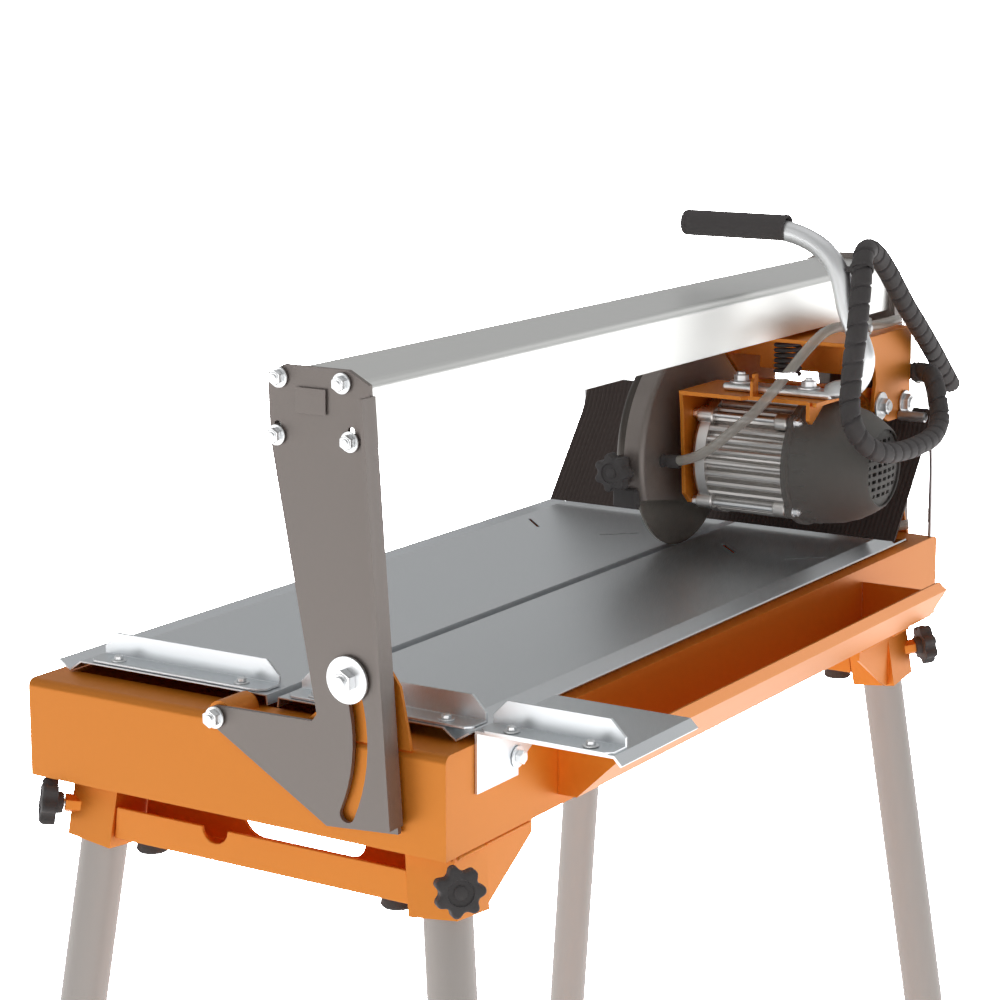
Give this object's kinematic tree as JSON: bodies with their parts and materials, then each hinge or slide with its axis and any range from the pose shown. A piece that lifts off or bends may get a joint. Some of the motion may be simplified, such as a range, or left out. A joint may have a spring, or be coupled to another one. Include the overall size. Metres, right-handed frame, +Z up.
{
  "type": "wet tile saw",
  "caption": "Bridge wet tile saw: orange water tank on splayed legs, galvanised tables, tilting rail with a sliding motor head, blade guard, handle and splash curtain",
  "frame": {"origin": "on the floor, below the middle of the saw's box", "axes": "+X across the saw to the side table, +Y along the rail to the rear, +Z up"},
  "size_m": [0.6034, 1.0298, 1.136],
  "materials": {
    "galvanised": "bluish hot-dip galvanised sheet with a soft sheen",
    "orange_paint": "gloss orange powder coat",
    "graphite_paint": "satin brown-grey powder coat",
    "rail_aluminium": "satin anodised extrusion",
    "zinc_plate": "bright zinc plate",
    "cast_aluminium": "sand-cast aluminium",
    "shaft_steel": "turned steel",
    "blade_steel": "dark coated steel core with a sintered rim",
    "leg_paint": "metallic grey-brown paint",
    "black_plastic": "moulded black plastic",
    "graphite_plastic": "moulded dark grey plastic",
    "curtain_rubber": "ribbed black rubber",
    "grip_rubber": "matt dark rubber",
    "clear_hose": "clear soft hose"
  },
  "bodies": {
    "stand": {"tank": "orange_paint", "table_left": "galvanised", "table_right": "galvanised", "fence_left": "galvanised", "fence_middle": "galvanised", "side_table": "galvanised", "side_wing": "orange_paint", "pump": "black_plastic", "curtain_frame": "zinc_plate", "curtain": "curtain_rubber", "cross_member_front": "orange_paint", "cross_member_rear": "orange_paint", "pivot_bolt_front": "zinc_plate", "pivot_bolt_rear": "zinc_plate", "lock_bolt_front": "zinc_plate", "lock_bolt_rear": "zinc_plate", "socket_front_left": "orange_paint", "socket_rear_left": "orange_paint", "socket_front_right": "orange_paint", "socket_rear_right": "orange_paint", "feed_hose": "clear_hose"},
    "plug": {"drain_plug": "black_plastic"},
    "leg_front_left": {"leg_front_left": "leg_paint", "leg_tip_front_left": "black_plastic"},
    "knob_front_left": {"leg_knob_front_left": "black_plastic"},
    "leg_rear_left": {"leg_rear_left": "leg_paint", "leg_tip_rear_left": "black_plastic"},
    "knob_rear_left": {"leg_knob_rear_left": "black_plastic"},
    "leg_front_right": {"leg_front_right": "leg_paint", "leg_tip_front_right": "black_plastic"},
    "knob_front_right": {"leg_knob_front_right": "black_plastic"},
    "leg_rear_right": {"leg_rear_right": "leg_paint", "leg_tip_rear_right": "black_plastic"},
    "knob_rear_right": {"leg_knob_rear_right": "black_plastic"},
    "bridge": {"bridge_plate_front": "graphite_paint", "bridge_plate_rear": "graphite_paint", "rail": "rail_aluminium", "supply_hose": "clear_hose"},
    "carriage": {"carriage_frame": "orange_paint", "hinge_shaft": "zinc_plate", "head_spring": "shaft_steel", "switch_box": "black_plastic"},
    "roller_front_left": {"roller_front_left": "black_plastic"},
    "roller_front_right": {"roller_front_right": "black_plastic"},
    "roller_rear_left": {"roller_rear_left": "black_plastic"},
    "roller_rear_right": {"roller_rear_right": "black_plastic"},
    "rocker": {"switch_rocker": "black_plastic"},
    "head": {"motor_bracket": "orange_paint", "motor_housing": "cast_aluminium", "fan_cover": "graphite_plastic", "guard_shell": "graphite_paint", "guard_cover": "graphite_paint", "handle_tube": "zinc_plate", "handle_grip": "grip_rubber", "cable_wrap": "black_plastic", "water_hose": "clear_hose"},
    "rotor": {"motor_shaft": "shaft_steel", "blade": "blade_steel", "blade_flange": "shaft_steel"},
    "guard_clamp": {"guard_knob": "black_plastic"}
  },
  "joints": [
    {"name": "plug_pull", "type": "slide", "parent": "stand", "child": "plug", "axis": [0, 0, -1], "range_m": [0, 0.03]},
    {"name": "leg_pull_front_left", "type": "slide", "parent": "stand", "child": "leg_front_left", "axis": [-0.1196, -0.0968, -0.9881], "range_m": [0, 0.05]},
    {"name": "knob_turn_front_left", "type": "hinge", "parent": "stand", "child": "knob_front_left", "pos_m": [-0.1963, -0.41406, 0.671], "axis": [-0.6979, -0.6997, 0.153], "continuous": true},
    {"name": "leg_pull_rear_left", "type": "slide", "parent": "stand", "child": "leg_rear_left", "axis": [-0.1196, 0.0968, -0.9881], "range_m": [0, 0.05]},
    {"name": "knob_turn_rear_left", "type": "hinge", "parent": "stand", "child": "knob_rear_left", "pos_m": [-0.1963, 0.39894, 0.671], "axis": [-0.6979, 0.6997, 0.153], "continuous": true},
    {"name": "leg_pull_front_right", "type": "slide", "parent": "stand", "child": "leg_front_right", "axis": [0.1196, -0.0968, -0.9881], "range_m": [0, 0.05]},
    {"name": "knob_turn_front_right", "type": "hinge", "parent": "stand", "child": "knob_front_right", "pos_m": [0.1467, -0.41406, 0.671], "axis": [0.6979, -0.6997, 0.153], "continuous": true},
    {"name": "leg_pull_rear_right", "type": "slide", "parent": "stand", "child": "leg_rear_right", "axis": [0.1196, 0.0968, -0.9881], "range_m": [0, 0.05]},
    {"name": "knob_turn_rear_right", "type": "hinge", "parent": "stand", "child": "knob_rear_right", "pos_m": [0.1467, 0.39894, 0.671], "axis": [0.6979, 0.6997, 0.153], "continuous": true},
    {"name": "bridge_tilt", "type": "hinge", "parent": "stand", "child": "bridge", "pos_m": [-0.0443, 0.01494, 0.784], "axis": [0, -1, 0], "range_deg": [0, 45]},
    {"name": "carriage_slide", "type": "slide", "parent": "bridge", "child": "carriage", "axis": [0, 1, 0], "range_m": [-0.61, 0]},
    {"name": "roller_spin_front_left", "type": "hinge", "parent": "carriage", "child": "roller_front_left", "pos_m": [0.0317, 0.29194, 1.0378], "axis": [1, 0, 0], "continuous": true},
    {"name": "roller_spin_front_right", "type": "hinge", "parent": "carriage", "child": "roller_front_right", "pos_m": [0.0927, 0.29194, 1.0378], "axis": [1, 0, 0], "continuous": true},
    {"name": "roller_spin_rear_left", "type": "hinge", "parent": "carriage", "child": "roller_rear_left", "pos_m": [0.0317, 0.38994, 1.0378], "axis": [1, 0, 0], "continuous": true},
    {"name": "roller_spin_rear_right", "type": "hinge", "parent": "carriage", "child": "roller_rear_right", "pos_m": [0.0927, 0.38994, 1.0378], "axis": [1, 0, 0], "continuous": true},
    {"name": "rocker_tip", "type": "hinge", "parent": "carriage", "child": "rocker", "pos_m": [0.1027, 0.44694, 0.971], "axis": [1, 0, 0], "range_deg": [0, 14]},
    {"name": "head_plunge", "type": "hinge", "parent": "carriage", "child": "head", "pos_m": [0.0837, 0.40594, 0.935], "axis": [-1, 0, 0], "range_deg": [0, 10], "deforming": ["head_spring"]},
    {"name": "blade_spin", "type": "hinge", "parent": "head", "child": "rotor", "pos_m": [-0.0203, 0.27394, 0.893], "axis": [1, 0, 0], "continuous": true},
    {"name": "guard_knob_turn", "type": "hinge", "parent": "head", "child": "guard_clamp", "pos_m": [-0.0233, 0.14794, 0.887], "axis": [0, -1, 0], "continuous": true}
  ],
  "couplings": [
    {"joint": "roller_spin_front_left", "follows": "carriage_slide", "rad_per_m": -58.824},
    {"joint": "roller_spin_front_right", "follows": "carriage_slide", "rad_per_m": -58.824},
    {"joint": "roller_spin_rear_left", "follows": "carriage_slide", "rad_per_m": -58.824},
    {"joint": "roller_spin_rear_right", "follows": "carriage_slide", "rad_per_m": -58.824}
  ]
}
